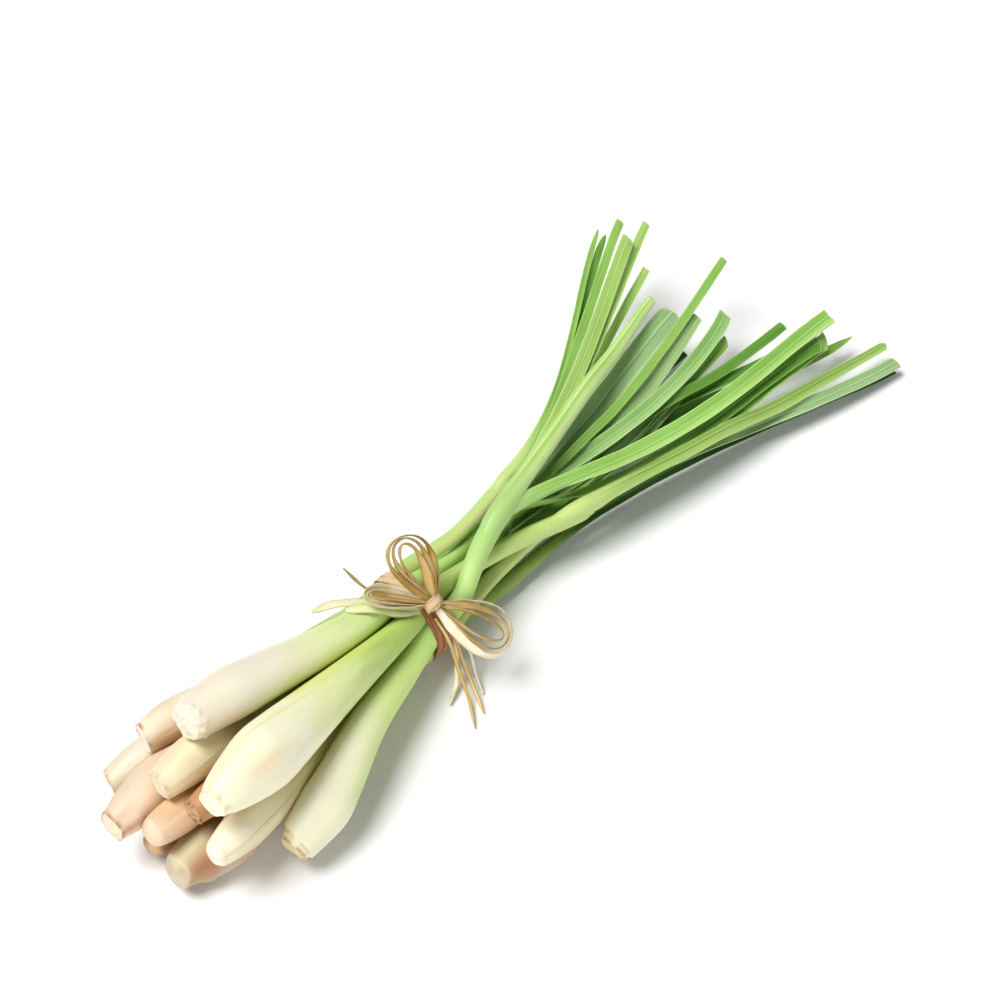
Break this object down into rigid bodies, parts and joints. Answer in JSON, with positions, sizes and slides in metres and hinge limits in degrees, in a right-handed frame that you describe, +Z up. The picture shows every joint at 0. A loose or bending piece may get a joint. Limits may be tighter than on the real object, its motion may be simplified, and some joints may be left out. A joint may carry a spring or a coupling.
{
  "type": "lemongrass bunch",
  "caption": "Bunch of fresh lemongrass stalks lying down: pale swollen bases, green necks and a fan of cut leaf blades, tied at the waist with a raffia bow.",
  "frame": {"origin": "centre of the underside of the bunch's box, without the loose raffia ends, on the surface it lies on", "axes": "+X along the bunch from the cut bases to the leaf tips, +Y to its left seen from the bases, +Z up"},
  "size_m": [0.3944, 0.1314, 0.0649],
  "materials": {
    "stalk": "fresh plant stalk: ivory and pale yellow-green sheaths with fine lengthwise fibres, satin",
    "leaf": "fresh grass blade with parallel veins, satin",
    "raffia": "dry split raffia, tan with golden-brown edges, matt"
  },
  "bodies": {
    "root": {"leaf_01a": "leaf", "leaf_01b": "leaf", "leaf_02a": "leaf", "leaf_02b": "leaf", "leaf_02c": "leaf", "leaf_02d": "leaf", "leaf_03a": "leaf", "leaf_03b": "leaf", "leaf_04a": "leaf", "leaf_04b": "leaf", "leaf_05a": "leaf", "leaf_05b": "leaf", "leaf_06a": "leaf", "leaf_06b": "leaf", "leaf_06c": "leaf", "leaf_07a": "leaf", "leaf_07b": "leaf", "leaf_07c": "leaf", "leaf_08a": "leaf", "leaf_09a": "leaf", "leaf_10a": "leaf", "leaf_11a": "leaf", "leaf_12a": "leaf", "leaf_12b": "leaf", "leaf_12c": "leaf", "leaf_12d": "leaf", "leaf_12e": "leaf", "leaf_12f": "leaf", "raffia_knot": "raffia", "raffia_loop_left_a": "raffia", "raffia_loop_left_b": "raffia", "raffia_loop_left_c": "raffia", "raffia_loop_right_a": "raffia", "raffia_loop_right_b": "raffia", "raffia_loop_right_c": "raffia", "raffia_loop_top_a": "raffia", "raffia_loop_top_b": "raffia", "raffia_loop_top_c": "raffia", "raffia_tail_left_1": "raffia", "raffia_tail_left_2": "raffia", "raffia_tail_left_3": "raffia", "raffia_tail_right_1": "raffia", "raffia_tail_right_2": "raffia", "raffia_tail_right_3": "raffia", "raffia_tail_right_4": "raffia", "raffia_turn_1": "raffia", "raffia_turn_2": "raffia", "stalk_01": "stalk", "stalk_02": "stalk", "stalk_03": "stalk", "stalk_04": "stalk", "stalk_05": "stalk", "stalk_06": "stalk", "stalk_07": "stalk", "stalk_08": "stalk", "stalk_09": "stalk", "stalk_10": "stalk", "stalk_11": "stalk", "stalk_12": "stalk"}
  },
  "joints": []
}
